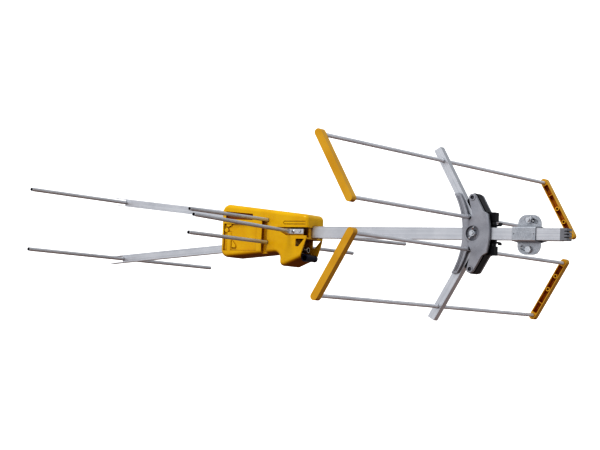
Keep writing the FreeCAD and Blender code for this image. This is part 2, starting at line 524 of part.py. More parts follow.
for name, end in (("upper", 1), ("lower", -1)):
    # latch pin: riveted through both lugs
    pin = body(f"latch_pin_{name}", "pin_x", z=f"{end} * pin_z")
    rounds(pin, "XZ", "-half - cast_rise + lug_sink", "half + cast_rise - lug_sink", [("0", "0", "pin_radius")])

    # latch lever: a cam behind the arm, a long back, a clip head and a finger hook
    latch = body(f"latch_{name}", "pin_x", z=f"{end} * pin_z")
    rounds(latch, "XZ", "-latch_half", "latch_half", [("0", "0", "latch_disc")])
    slab(latch, "XZ", "-latch_half", "latch_half",
         [("-5.2", f"{end} * 5.8"), ("3.5", f"{end} * 6.5"), ("7", f"{end} * -3"), ("-3", f"{end} * -12"),
          ("-17", f"{end} * -27"), ("-23.5", f"{end} * -24.5")])
    slab(latch, "XZ", "-arm_side / 2", "arm_side / 2",
         [("3", f"{end} * 5"), ("latch_cam * cos(12)", f"{end} * -latch_cam * sin(12)"),
          ("latch_cam * cos(30)", f"{end} * -latch_cam * sin(30)"),
          ("latch_cam * cos(48)", f"{end} * -latch_cam * sin(48)"), ("-3", f"{end} * -8")])
    slab(latch, "XZ", "-latch_head_half", "latch_head_half",
         [("-38.5", f"{end} * -24"), ("-20", f"{end} * -24"), ("-24", f"{end} * -39"), ("-38.5", f"{end} * -39")])
    slab(latch, "XZ", "-latch_head_half + 2", "latch_head_half - 2",
         [("-33", f"{end} * -38"), ("-27", f"{end} * -38"), ("-27", f"{end} * -44"), ("-30", f"{end} * -46.5"),
          ("-44", f"{end} * -46.5"), ("-46.5", f"{end} * -44.5"), ("-46.5", f"{end} * -41"), ("-44.5", f"{end} * -41"),
          ("-43.5", f"{end} * -44"), ("-33", f"{end} * -44")])
    rounds(latch, "XZ", "-latch_half - 1", "latch_half + 1", [("0", "0", "pin_radius + fit_gap")], cut=True)

    # reflector arm: a square tube that turns on the inner rod, between the two castings
    turn = "wing_angle" if end > 0 else "180 - wing_angle"
    arm = body(f"reflector_arm_{name}", "wing_x", z=f"{end} * wing_z", turn=turn)
    slab(arm, "XY", "-arm_tail", "rod_pitch + arm_tip",
         box_points("-arm_side / 2", "arm_side / 2", "-arm_side / 2", "arm_side / 2"))
    slab(arm, "XY", "-arm_tail", "rod_pitch + arm_tip",
         box_points("-arm_side / 2 + arm_wall", "arm_side / 2 - arm_wall",
                    "-arm_side / 2 + arm_wall", "arm_side / 2 - arm_wall"), cut=True)
    rounds(arm, "XZ", "-arm_side", "arm_side", [("0", "0", "rod_bore"), ("0", "rod_pitch", "rod_bore")], cut=True)

    rod_y, reach = f"boom_y + {name}_shift", f"{name}_half + socket_depth - part_gap"
    tube(f"reflector_rod_{name}_inner", "wing_x", f"{end} * wing_z", reach, rod_y)
    tube(f"reflector_rod_{name}_outer", "outer_x", f"{end} * outer_z", reach, rod_y)

    for place_name, side in (("near", 1), ("far", -1)):
        # end bar: an open channel that joins the two rods, sockets at its ends
        bar = body(f"end_bar_{name}_{place_name}", "wing_x", rod_y, f"{end} * wing_z", turn)

        def across(low, high):
            ends = (f"{name}_half + {low}", f"{name}_half + {high}")
            return ends if side > 0 else (f"-({ends[1]})", f"-({ends[0]})")
        edge = "bar_overhang - bar_width / 2"
        slab(bar, "XZ", *across("0", "bar_depth"),
             box_points("-bar_width / 2", "bar_width / 2", f"-({edge})", f"rod_pitch + {edge}"))
        rounds(bar, "XZ", *across("0", "bar_depth"), [("0", f"-({edge})", "bar_width / 2")])
        rounds(bar, "XZ", *across("0", "bar_depth"), [("0", f"rod_pitch + {edge}", "bar_width / 2")])
        slab(bar, "XZ", *across("-1", "bar_depth - bar_floor"),
             box_points("-bar_width / 2 + bar_wall", "bar_width / 2 - bar_wall", "bar_width / 2",
                        "rod_pitch - bar_width / 2"), cut=True)
        slab(bar, "XZ", *across("rib_wall", "bar_depth - 1"),
             box_points("-bar_width / 2 + 1", "bar_width / 2 - 1", "rod_pitch * 0.76 - rib_wall / 2",
                        "rod_pitch * 0.76 + rib_wall / 2"))
        for share in ("0.25", "0.5"):
            rounds(bar, "XZ", *across("0", "bar_depth - 1"), [("0", f"rod_pitch * {share}", "ring_radius")])
            rounds(bar, "XZ", *across("-1", "bar_depth - bar_floor"),
                   [("0", f"rod_pitch * {share}", "ring_bore")], cut=True)
        rounds(bar, "XZ", *across("-1", "socket_depth"),
               [("0", "0", "rod_bore"), ("0", "rod_pitch", "rod_bore")], cut=True)


# Dipole box: a body and a snap cover that meet at one level, both cut from one form.
def box_form(item):
    """The whole outer form of the box, its corners and its long edges rounded."""
    slab(item, "XZ", "-box_half", "box_half", [
        ("box_nose", "box_nose_top"), ("box_tail", "box_tail_top"), ("box_tail", "-box_seam"),
        ("foot_x", "-foot_z"), ("lobe_x", "-lobe_base"), ("lobe_x", "-step_base"),
        ("box_nose", "-box_nose_base")])
    soften(item, "nose_round", along(1, [("box_nose", "box_nose_top"), ("box_nose", "-box_nose_base")]))
    soften(item, "tail_round", along(1, [("box_tail", "box_tail_top")]))
    soften(item, "lobe_round", along(1, [("lobe_x", "-lobe_base")]))
    soften(item, "step_round", along(1, [("lobe_x", "-step_base")]))
    soften(item, "box_edge", broad_edges())


def broad_edges():
    """Chooses the edges round the two broad sides, but not those of the open bay."""
    half_width = size("box_half")
    tail, foot = size("box_tail"), size("foot_x")
    seam, foot_z = -size("box_seam"), -size("foot_z")

    def picks(edge):
        if any(abs(abs(vertex.Point.y) - half_width) > 1e-3 for vertex in edge.Vertexes):
            return False
        middle = edge.CenterOfMass
        on_bay = abs((middle.x - tail) * (foot_z - seam) - (middle.z - seam) * (foot - tail)) < 1
        return abs(abs(middle.y) - half_width) < 1e-3 and not on_bay
    return picks


beyond = 50
behind = f"box_tail - {beyond}"
across_all = (f"-box_half - {beyond}", f"box_half + {beyond}")
shell = body("box_body")
box_form(shell)
slab(shell, "XZ", *across_all,
     box_points(behind, f"box_nose + {beyond}", "box_seam - seam_gap / 2", f"box_nose_top + {beyond}"), cut=True)
cover = body("box_cover")
box_form(cover)
slab(cover, "XZ", *across_all,
     box_points(behind, f"box_nose + {beyond}", f"-lobe_base - {beyond}", "box_seam + seam_gap / 2"), cut=True)

# the closed room in front and the open bay behind it
above_seam, below_seam = "box_seam + box_wall", "box_seam - box_wall"
slab(shell, "XZ", "-room_half", "room_half", [
    ("wall_x + box_wall", above_seam), ("wall_x + box_wall", "-lobe_base + lobe_round"),
    ("lobe_x - box_wall", "-lobe_base + lobe_round"), ("lobe_x - box_wall", "-step_base + box_wall"),
    ("box_nose - nose_round", "-box_nose_base + box_wall"), ("box_nose - box_wall", "-box_nose_base + nose_round"),
    ("box_nose - box_wall", above_seam)], cut=True)
slab(shell, "XZ", "-box_half + box_wall", "box_half - box_wall", [
    (behind, above_seam), ("wall_x", above_seam),
    ("wall_x", "-foot_z - (wall_x - foot_x) * lobe_fall + box_wall"), ("foot_x", "-foot_z + box_wall"),
    (behind, "-foot_z + box_wall")], cut=True)
slab(cover, "XZ", "-room_half", "room_half", [
    ("box_tail + box_wall", below_seam), ("box_nose - box_wall", below_seam),
    ("box_nose - box_wall", "box_nose_top - nose_round"), ("box_nose - nose_round", "box_nose_top - box_wall - 1"),
    ("box_tail + tail_round", "box_tail_top - box_wall"), ("box_tail + box_wall", "box_tail_top - tail_round")],
     cut=True)

# shelf and frame that hold the boom's tail side, then the passage itself
slab(shell, "XZ", "-box_half + box_wall / 2", "box_half - box_wall / 2",
     box_points("box_tail + 2", "wall_x + 1", "-shelf_z", "-half - fit_gap"))
slab(shell, "XY", "-shelf_z", "box_seam - seam_gap / 2",
     box_points("box_tail + 2", "box_tail + 2 + box_wall", "-frame_half", "frame_half"))
slab(shell, "XZ", "-half - box_wall", "half + box_wall",
     box_points("box_tail + 2", "wall_x + box_wall", "-shelf_z", "box_seam - seam_gap / 2"))
slab(shell, "YZ", behind, "boom_nose + part_gap",
     box_points("-half - fit_gap", "half + fit_gap", "-half - fit_gap", above_seam), cut=True)
slab(cover, "YZ", behind, "boom_nose + part_gap",
     box_points("-half - fit_gap", "half + fit_gap", below_seam, "half + fit_gap"), cut=True)

# sleeves for the two director arms, then the slanting sockets in them
for item, end in ((cover, 1), (shell, -1)):
    def flank(x, offset):
        return (x, f"{end} * (root_z + ({x} - director_root) * lean {offset})")
    inside = "box_nose - sleeve_length"
    margin = "(arm_side / 2 / cos(spread) + fit_gap)"
    slab(item, "XZ", "-arm_side / 2 - box_wall", "arm_side / 2 + box_wall", [
        flank(inside, f"- {margin} - box_wall"), flank("box_nose - 1", f"- {margin} - box_wall"),
        flank("box_nose - 1", f"+ {margin} + box_wall"), flank(inside, f"+ {margin} + box_wall")])
    slab(item, "XZ", "-arm_side / 2 - fit_gap", "arm_side / 2 + fit_gap", [
        flank("director_root", f"- {margin}"), flank(f"box_nose + {beyond}", f"- {margin}"),
        flank(f"box_nose + {beyond}", f"+ {margin}"), flank("director_root", f"+ {margin}")], cut=True)
    rounds(item, "XZ", *across_all, [("short_x", f"{end} * short_z", "rod_bore")], cut=True)

for side in (1, -1):
    def skin(deep):
        """The span from a recess's floor out past the broad side."""
        return ((f"box_half - {deep}", f"box_half + {beyond}") if side > 0
                else (f"-box_half - {beyond}", f"-box_half + {deep}"))
    # gate between body and cover, where the dipole's root comes out
    slab(shell, "XZ", *skin("gate_deep"), [
        (behind, "-box_seam"), ("gate_knee", "-box_seam"), ("gate_front", "box_seam / 3"),
        ("gate_front", above_seam), (behind, above_seam)], cut=True)
    # upright slot from rod to rod, open at the bottom
    slot = ("short_x", "short_x + rod_slot + rod_radius")
    slab(shell, "XZ", *skin("rod_slot_deep"), box_points(*slot, f"-box_nose_base - {beyond}", above_seam), cut=True)
    slab(cover, "XZ", *skin("rod_slot_deep"), box_points(*slot, below_seam, "short_z"), cut=True)
    # sunk panel with a half-round column, and a sunk field over it
    slab(shell, "XZ", *skin("panel_deep"), box_points("panel_tail", "panel_nose", "-panel_base", above_seam), cut=True)
    slab(cover, "XZ", *skin("panel_deep"), box_points("panel_tail", "panel_nose", below_seam, "panel_top"), cut=True)
    slab(cover, "XZ", *skin("hatch_deep"), [
        ("hatch_tail", "hatch_low"), ("hatch_nose", "hatch_low + hatch_rise"),
        ("hatch_nose", "hatch_high + hatch_rise"), ("hatch_tail", "hatch_high - hatch_rise")], cut=True)
    rounds(shell, "XY", "-panel_base - 1", "-2", [("column_x", f"{side} * (box_half - column_radius)", "column_radius")])
    # outline of the snap tongue in the cover
    slab(cover, "XZ", *skin("tongue_line"), [
        (behind, "tongue_z + tongue_half"), ("tongue_nose - tongue_half", "tongue_z + tongue_half", "-tongue_round"),
        ("tongue_nose - tongue_half", "tongue_z - tongue_half"), (behind, "tongue_z - tongue_half"),
        (behind, "tongue_z - tongue_half + tongue_line"),
        ("tongue_nose - tongue_half", "tongue_z - tongue_half + tongue_line", "(tongue_round - tongue_line)"),
        ("tongue_nose - tongue_half", "tongue_z + tongue_half - tongue_line"),
        (behind, "tongue_z + tongue_half - tongue_line")], cut=True)
    # finger pocket in the cheek
    slab(shell, "XZ", *skin("notch_deep"), [
        ("notch_x", "-shelf_z"), ("notch_x + notch_length", "-shelf_z"),
        ("notch_x + notch_length", "-shelf_z - notch_drop"),
        ("notch_x + notch_length - notch_foot", "-shelf_z - notch_drop")], cut=True)
    # boss on the shelf that the dipole's blade is screwed to
    boss = (("blade_y - boss_depth", "blade_y - seam_gap") if side > 0
            else ("-blade_y + seam_gap", "-blade_y + boss_depth"))
    slab(shell, "XZ", *boss, box_points("dipole_x - blade_length - 1", "dipole_x", "-half", "blade_height / 2"))

# Feed board on two ledges of the room, and the screening can under it.
for side in (1, -1):
    ledge = ("board_half - 3", "room_half + 1") if side > 0 else ("-room_half - 1", "-board_half + 3")
    slab(shell, "XZ", *ledge, box_points("wall_x + box_wall - 1", "wall_x + box_wall + 2 + board_length",
                                         "-half - box_wall - board_wall - 3", "-half - box_wall - board_wall"))
board = body("balun_board")
slab(board, "XY", "-half - box_wall - board_wall", "-half - box_wall",
     box_points("wall_x + box_wall + 2", "wall_x + box_wall + 2 + board_length", "-board_half", "board_half"))
can = body("balun_can")
slab(can, "XY", "-half - box_wall - board_wall - can_height", "-half - box_wall - board_wall",
     box_points("wall_x + box_wall + 8", "wall_x + box_wall + 8 + can_length", "-can_width / 2", "can_width / 2"))

# Coax socket: a stepped base on the bay's wall, a hexagon and a bored nose to the tail.
coax = body("coax_socket", "wall_x", "boom_y + socket_y", "-socket_z")
rounds(coax, "YZ", "-socket_length", "box_wall + 2", [("0", "0", "socket_radius")])
rounds(coax, "YZ", "-socket_length + socket_thread", "0", [("0", "0", "socket_base")])
solid(coax, "YZ", "-socket_hex_height", "0", lambda drawing: hexagon(drawing, "socket_hex"))
rounds(coax, "YZ", "-socket_length - 1", "-socket_hex_height", [("0", "0", "socket_bore")], cut=True)
rounds(shell, "YZ", "wall_x - 1", "wall_x + box_wall + 1",
       [("socket_y", "-socket_z", "socket_radius + fit_gap")], cut=True)

# Rubber boot: lies across the foot of the bay, tethered by an eye round the socket's base.
boot = body("rubber_boot", "boot_x", "boom_y", "-boot_z")
rounds(boot, "XZ", "boot_near - boot_flare", "boot_near", [("0", "0", "boot_radius")])
rounds(boot, "XZ", "-boot_far", "boot_near - boot_flare", [("0", "0", "boot_neck")])
rounds(boot, "XZ", "-boot_far", "-boot_far + boot_rim", [("0", "0", "(boot_neck + boot_radius) / 2")])
slab(boot, "XZ", "socket_y - eye_width / 2", "socket_y + eye_width / 2",
     box_points("0", "eye_x - boot_x + eye_width", "eye_low", "eye_low + eye_wall"))
rounds(boot, "YZ", "eye_x - boot_x", "eye_x - boot_x + eye_width",
       [("socket_y", "boot_z - socket_z", "socket_base + fit_gap + eye_wall")])
rounds(boot, "YZ", "eye_x - boot_x - 1", "eye_x - boot_x + eye_width + 1",
       [("socket_y", "boot_z - socket_z", "socket_base + fit_gap")], cut=True)
rounds(boot, "XZ", "boot_near - boot_flare", "boot_near + 1", [("0", "0", "boot_bore")], cut=True)
rounds(boot, "XZ", "-boot_far - 1", "boot_near - boot_flare + 1", [("0", "0", "boot_bore - 1")], cut=True)

# Dipole halves: hollow rods with the inner end pressed flat and bent along the box.
for name, side in (("near", 1), ("far", -1)):
    half_rod = body(f"dipole_rod_{name}", "dipole_x", f"boom_y + {side} * bend_y",
                    turn=f"{side} * sqrt(dipole_sweep ^ 2 + dipole_rise ^ 2)",
                    axis=(size("dipole_rise"), 0, size("dipole_sweep")))

    def outward(low, high):
        return (low, high) if side > 0 else (f"-({high})", f"-({low})")
    tall = ("-blade_height / 2", "blade_height / 2")
    # seen from above: a strip flush with the box, a bend, and the start of the rod

    def flush(radius, back):
        """A point of the strip: how far from the bend's centre and how far back along it."""
        return (f"-bend_radius - {radius} * sin(dipole_sweep) - {back} * cos(dipole_sweep)",
                f"{-side} * ({radius} * cos(dipole_sweep) - {back} * sin(dipole_sweep))")
    slab(half_rod, "XY", *tall, [
        flush("bend_radius", "blade_length"), (*flush("bend_radius", "0"), f"{side} * bend_radius"),
        ("0", "0"), ("blade_wall", "0", f"{-side} * (bend_radius + blade_wall)"),
        flush("(bend_radius + blade_wall)", "0"), flush("(bend_radius + blade_wall)", "blade_length")])
    slab(half_rod, "XZ", *outward("-0.5", "2"), box_points("0", "blade_wall", *tall))
    flat_end = sketch(half_rod, "XZ", f"{-side} * 2")
    outline(flat_end, box_points("0", "blade_wall", *tall))
    round_end = sketch(half_rod, "XZ", f"{-side} * (2 + neck_length)")
    circle(round_end, "blade_wall / 2", "0", "rod_radius")
    neck = half_rod.newObject("PartDesign::AdditiveLoft", f"dipole_neck_{name}")
    neck.Profile = flat_end
    neck.Sections = [round_end]
    rounds(half_rod, "XZ", *outward("2 + neck_length", "dipole_half - blade_y"), [("blade_wall / 2", "0", "rod_radius")])
    rounds(half_rod, "XZ", *outward("5 + neck_length", "dipole_half"),
           [("blade_wall / 2", "0", "rod_radius - rod_wall")], cut=True)
    rounds(half_rod, "XZ", "-2 * bend_radius - 2 * blade_wall", "2 * bend_radius + 2 * blade_wall",
           [("-screw_back - hole_shift", "0", "screw_radius + part_gap"),
            ("-rivet_back - hole_shift", "0", "rivet_radius + part_gap")], cut=True)

    def inward(low, high):
        return (low, high) if side > 0 else (f"-({high})", f"-({low})")
    for item_name, back, radius, head, length in (
            ("dipole_screw", "screw_back", "screw_radius", "screw_head", "boss_depth"),
            ("dipole_rivet", "rivet_back", "rivet_radius", "rivet_head", "boss_depth")):
        pin = body(f"{item_name}_{name}", f"dipole_x - {back}", f"boom_y + {side} * (blade_y + blade_wall + fit_gap)")
        rounds(pin, "XZ", *inward(f"-{length} - blade_wall", "0"), [("0", "0", radius)])
        rounds(pin, "XZ", *inward("0", "head_height"), [("0", "0", head)])
        rounds(shell, "XZ", *inward("blade_y - boss_depth - 1", "blade_y + 1"),
               [(f"dipole_x - {back}", "0", f"{radius} + fit_gap")], cut=True)

# Directors: a short pair through the box and a long one at each slanting arm's tip.
for name, end in (("upper", 1), ("lower", -1)):
    tube(f"short_director_{name}", "short_x", f"{end} * short_z", "short_half")
    tube(f"front_director_{name}", "front_x", f"{end} * front_z", "front_half")
    arm = body(f"director_arm_{name}", "front_x", z=f"{end} * front_z", turn=f"{-end} * spread")
    rear = "-(front_x - director_root) / cos(spread)"
    tip = "(director_tip - front_x)"
    slab(arm, "YZ", rear, tip, box_points("-arm_side / 2", "arm_side / 2", "-arm_side / 2", "arm_side / 2"))
    slab(arm, "YZ", rear, tip, box_points("-arm_side / 2 + arm_wall", "arm_side / 2 - arm_wall",
                                          "-arm_side / 2 + arm_wall", "arm_side / 2 - arm_wall"), cut=True)
    # the side walls are slit open from the tip, and the rod sits at the slit's end
    rounds(arm, "XZ", "-arm_side", "arm_side", [("0", "0", "rod_bore")], cut=True)
    slab(arm, "XZ", "-arm_side", "arm_side",
         box_points("0", "tip_slot", "-arm_side / 2 + arm_wall", "arm_side / 2 - arm_wall"), cut=True)

doc.recompute()

faults = [item.Name for item in doc.Objects if {"Invalid", "Error"} & set(item.State)]
faults += [item.Label for item in PARTS if item.Shape.isNull() or not item.Shape.isValid()]
faults += [f"{item.Label}: {len(item.Shape.Solids)} solids" for item in PARTS if len(item.Shape.Solids) != 1]
if faults:
    raise SystemExit(f"these features failed: {faults}")

os.makedirs("parts", exist_ok=True)
for item in PARTS:
    item.Shape.exportStep(f"parts/{item.Label}.step")
print(f"{len(PARTS)} pieces written")
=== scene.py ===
import math

import bpy
from mathutils import Euler, Matrix, Vector


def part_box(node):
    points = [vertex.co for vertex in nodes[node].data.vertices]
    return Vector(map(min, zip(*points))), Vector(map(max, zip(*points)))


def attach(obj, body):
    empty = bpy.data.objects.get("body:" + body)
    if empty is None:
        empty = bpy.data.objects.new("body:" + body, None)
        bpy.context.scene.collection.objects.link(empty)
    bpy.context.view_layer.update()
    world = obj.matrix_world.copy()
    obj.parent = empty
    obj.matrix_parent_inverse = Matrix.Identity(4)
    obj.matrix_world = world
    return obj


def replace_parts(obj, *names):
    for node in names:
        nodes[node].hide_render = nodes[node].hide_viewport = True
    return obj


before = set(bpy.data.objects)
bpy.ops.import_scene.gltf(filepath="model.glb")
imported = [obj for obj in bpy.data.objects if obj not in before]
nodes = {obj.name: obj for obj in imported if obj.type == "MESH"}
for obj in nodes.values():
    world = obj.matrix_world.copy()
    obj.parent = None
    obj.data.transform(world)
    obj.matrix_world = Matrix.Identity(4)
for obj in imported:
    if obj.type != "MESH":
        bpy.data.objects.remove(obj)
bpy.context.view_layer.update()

# View: a long lens on the near side, a little behind the mast and below the boom. Its right and
# ahead directions were fitted to the straight edges of the real aerial.
VIEW_PLACE = Vector((-1.4715, 3.1773, -0.2127))
VIEW_RIGHT = Vector((-0.8548, -0.5171, 0.0435)).normalized()
VIEW_AHEAD = Vector((0.5189, -0.8526, 0.0614))
VIEW_LENS_MM = 126.0
VIEW_SENSOR_MM = 36.0
VIEW_REACH = 60

view_up = VIEW_RIGHT.cross(VIEW_AHEAD).normalized()
view_ahead = view_up.cross(VIEW_RIGHT).normalized()
view_turn = Matrix((VIEW_RIGHT, view_up, -view_ahead)).transposed().to_4x4()
camera = bpy.data.objects.new("view", bpy.data.cameras.new("view"))
camera.data.lens = VIEW_LENS_MM
camera.data.sensor_width = VIEW_SENSOR_MM
camera.data.sensor_fit = "HORIZONTAL"
camera.data.clip_end = VIEW_REACH
camera.matrix_world = Matrix.Translation(VIEW_PLACE) @ view_turn
bpy.context.scene.collection.objects.link(camera)
bpy.context.scene.camera = camera

# Boom: one drawn square tube of aluminium, cut to length and left bare. Its long faces carry the
# faint lengthwise lines of the die, and a soft mottle where it was handled.
ALUMINIUM_PALE = (0.76, 0.775, 0.80)
ALUMINIUM_DULL = (0.60, 0.615, 0.645)
ALUMINIUM_TONE_EDGE = (0.34, 0.66)
# painted shade: the colour that corners and hollows are darkened to, and how far it reaches
ALUMINIUM_PAINTED_SHADE = (0.06, 0.06, 0.07, 1)
ALUMINIUM_PAINTED_SHADE_REACH = 0.005
DIE_LINES_PER_M = (3, 420, 420)
DIE_LINE_SHARE = 0.55
DIE_LINE_HAZE = 0.06
DIE_LINE_DEPTH = 0.00006
HANDLED_PER_M = 22.0
HANDLED_HAZE = 0.16
DRAWN_GRAIN_PER_M = 1600.0
DRAWN_GRAIN_SHARE = 0.25
EDGE_SAMPLES = 4
CREVICE_SAMPLES = 6
CREVICE_EDGE = (0.25, 0.85)


class Signal:
    """A value inside a node tree. Arithmetic on it adds Math nodes."""

    def __init__(self, tree, socket=None):
        self.tree = tree
        self.socket = socket

    def node(self, kind, settings=None, sockets=None, result=0):
        """One output of a new node, whose sockets are set to values or linked to signals."""
        made = self.tree.nodes.new(kind)
        for name, value in (settings or {}).items():
            setattr(made, name, value)
        for name, value in (sockets or {}).items():
            target = made.inputs[name]
            if isinstance(value, Signal):
                self.tree.links.new(value.socket, target)
            else:
                target.default_value = value
        return Signal(self.tree, made.outputs[result])

    def math(self, operation, first, second):
        return self.node("ShaderNodeMath", {"operation": operation}, {0: first, 1: second})

    def __add__(self, other):
        return self.math("ADD", self, other)

    def __radd__(self, other):
        return self.math("ADD", other, self)

    def __sub__(self, other):
        return self.math("SUBTRACT", self, other)

    def __rsub__(self, other):
        return self.math("SUBTRACT", other, self)

    def __mul__(self, other):
        return self.math("MULTIPLY", self, other)

    def __rmul__(self, other):
        return self.math("MULTIPLY", other, self)

    def __truediv__(self, other):
        return self.math("DIVIDE", self, other)

    def __rtruediv__(self, other):
        return self.math("DIVIDE", other, self)

    def between(self, low, high):
        """0 below low, 1 above high and smooth in between."""
        sockets = {"Value": self, "From Min": low, "From Max": high}
        return self.node("ShaderNodeMapRange", {"interpolation_type": "SMOOTHSTEP"}, sockets)

    def noise(self, place, scale, detail=3.0, roughness=0.5):
        sockets = {"Vector": place, "Scale": scale, "Detail": detail, "Roughness": roughness}
        return self.node("ShaderNodeTexNoise", {}, sockets)

    def mix(self, amount, first, second):
        """The first colour where the amount is 0, and the second where it is 1.

        The node's colours are its inputs 6 and 7, and the mixed colour is its output 2.
        """
        sockets = {0: amount, 6: first, 7: second}
        return self.node("ShaderNodeMix", {"data_type": "RGBA"}, sockets, result=2)


def new_finish(name, metallic=0.0, **fixed):
    """A new material, a signal to start its nodes from, and its surface shader's inputs."""
    material = bpy.data.materials.new(name)
    material.use_nodes = True
    surface = material.node_tree.nodes["Principled BSDF"].inputs
    surface["Metallic"].default_value = metallic
    for socket, value in fixed.items():
        surface[socket.replace("_", " ").title().replace("Ior", "IOR")].default_value = value
    return material, Signal(material.node_tree), surface


def feed(start, surface, **links):
    """Links signals to the surface shader's inputs of the same names."""
    for socket, value in links.items():
        start.tree.links.new(value.socket, surface[socket.replace("_", " ").title()])


def relief(start, height, depth, edge=0.0):
    """A bumped normal, with its edges rounded by the given radius in metres."""
    sockets = {"Height": height, "Distance": depth, "Strength": 1.0}
    if edge:
        rounding = {"samples": EDGE_SAMPLES}
        sockets["Normal"] = start.node("ShaderNodeBevel", rounding, {"Radius": edge})
    return start.node("ShaderNodeBump", {}, sockets)


def paint_crevice_shade(start, reach, tone, shade):
    """The tone with painted shade, darkened where the surface lies deep in a corner or a hollow.
    """
    looks = {"samples": CREVICE_SAMPLES}
    # Painted shade: ambient occlusion darkens the colour in corners and hollows, where shade
    # falls.
    open_sky = start.node("ShaderNodeAmbientOcclusion", looks, {"Distance": reach}, result="AO")
    return start.mix(open_sky.between(*CREVICE_EDGE), shade, tone)


def dress(material, *names):
    """Gives solids of the frame this material alone."""
    for name in names:
        slots = nodes[name].data.materials
        slots.clear()
        slots.append(material)


def drawn_aluminium(
    name, turn_y=0.0, turn_z=0.0, bright=1.0, edge=0.0004, haze=0.30, metallic=1.0
):
    """Bare drawn aluminium with its die lines along X, turned to lie along the piece."""
    material, start, surface = new_finish(name, metallic=metallic)
    place = start.node("ShaderNodeTexCoord", result="Object")
    along = start.node(
        "ShaderNodeMapping",
        {"vector_type": "TEXTURE"},
        {"Vector": place, "Rotation": Euler((0, math.radians(turn_y), math.radians(turn_z)))},
    )
    drawn = start.node("ShaderNodeMapping", {}, {"Vector": along, "Scale": DIE_LINES_PER_M})
    line = start.noise(drawn, 1.0, detail=4.0, roughness=0.65)
    handled = start.noise(place, HANDLED_PER_M, detail=5.0, roughness=0.6)
    grain = start.noise(place, DRAWN_GRAIN_PER_M, detail=2.0)
    pale = tuple(bright * value for value in ALUMINIUM_PALE) + (1,)
    dull = tuple(bright * value for value in ALUMINIUM_DULL) + (1,)
    mottle = line * DIE_LINE_SHARE + handled * (1 - DIE_LINE_SHARE)
    tone = start.mix(mottle.between(*ALUMINIUM_TONE_EDGE), dull, pale)
    feed(
        start,
        surface,
        # the base colour carries painted shade in corners and hollows
        base_color=paint_crevice_shade(start, ALUMINIUM_PAINTED_SHADE_REACH, tone, ALUMINIUM_PAINTED_SHADE),
        roughness=haze + HANDLED_HAZE * handled + DIE_LINE_HAZE * line,
        normal=relief(start, line + DRAWN_GRAIN_SHARE * grain, DIE_LINE_DEPTH, edge),
    )
    return material


dress(drawn_aluminium("boom_aluminium"), "boom_tube")

# Boom end cap: a grey moulded plug pushed into the open tail of the tube, with two slots that
# leave three fins. Matt, with the fine spark texture of its mould.
MOULD_DRIFT_PER_M = 35.0
MOULD_DRIFT_EDGE = (0.3, 0.7)
MOULD_DRIFT_HAZE = 0.12
MOULD_SPARK_PER_M = 800.0
MOULD_SPARK_DEPTH = 0.000012
UNDERSIDE_EDGE = (0.25, 0.95)
UNDERSIDE_HAZE = 0.6
SHADE_FIELD_EDGE = 0.0003


def moulded(
    name, body, deep, painted_shade, roughness, reach=0.004, edge=0.0005, underside_shade=None, shade_field=None, **fixed
):
    """A moulded plastic with a fine mould texture and a slow drift in its colour.

    Where a colour for the underside is given, the underside is painted darker in that colour as
    painted shade, and its texture is coarser and matt. Corners and hollows are darkened towards
    the painted shade colour. A field is a sunk window, given by its low and high corners, whose
    floor is painted in that shade colour as painted shade.
    """
    material, start, surface = new_finish(name, **fixed)
    place = start.node("ShaderNodeTexCoord", result="Object")
    drift = start.noise(place, MOULD_DRIFT_PER_M, detail=4.0)
    spark = start.noise(place, MOULD_SPARK_PER_M, detail=3.0, roughness=0.6)
    tone = start.mix(drift.between(*MOULD_DRIFT_EDGE), body + (1,), deep + (1,))
    gloss = roughness - MOULD_DRIFT_HAZE / 2 + MOULD_DRIFT_HAZE * drift
    # Painted shade: the underside is painted darker in the given colour; it is also made rougher.
    if underside_shade:
        facing = start.node("ShaderNodeTexCoord", result="Normal")
        upward = start.node("ShaderNodeSeparateXYZ", {}, {"Vector": facing}, result="Z")
        under = (0.0 - upward).between(*UNDERSIDE_EDGE)
        tone = start.mix(under, tone, underside_shade + (1,))
        gloss = gloss + UNDERSIDE_HAZE * under
    if shade_field:
        spans = []
        for axis, (low, high) in enumerate(zip(*shade_field)):
            along = start.node("ShaderNodeSeparateXYZ", {}, {"Vector": place}, result=axis)
            past_low = along.between(low, low + SHADE_FIELD_EDGE)
            past_high = along.between(high - SHADE_FIELD_EDGE, high)
            spans.append(past_low * (1.0 - past_high))
        # Painted shade: the floor of the sunk field is painted in the shade colour.
        tone = start.mix(spans[0] * spans[1] * spans[2], tone, painted_shade + (1,))
    feed(
        start,
        surface,
        # Painted shade in corners and hollows.
        base_color=paint_crevice_shade(start, reach, tone, painted_shade + (1,)),
        roughness=gloss,
        normal=relief(start, spark, MOULD_SPARK_DEPTH, edge),
    )
    return material


cap_grey = moulded(
    "cap_grey",
    body=(0.27, 0.28, 0.30),
    deep=(0.22, 0.23, 0.25),
    painted_shade=(0.02, 0.02, 0.025),
    roughness=0.42,
)
dress(cap_grey, "boom_end_cap")

# Mast clamp: a folded saddle with two slotted ears round the boom, the bracket's plate behind
# it, a loose jaw, and their bolts, washers and nuts. Pressed steel, bright zinc plated.
# painted shade: the colour that corners and hollows are darkened to, and how far it reaches
PLATE_PAINTED_SHADE = (0.05, 0.05, 0.06, 1)
PLATE_PAINTED_SHADE_REACH = 0.006
PLATE_TONE_EDGE = (0.3, 0.7)
PLATE_SHEEN = 0.08
PLATE_DEPTH = 0.00003
SPANGLE_PER_M = 520.0
SPANGLE_HEIGHT = 0.4
STAIN_PER_M = 60.0
STAIN_SHARE = 0.7
STAIN_HAZE = 0.2
ROLLED_GRAIN_PER_M = 1400.0


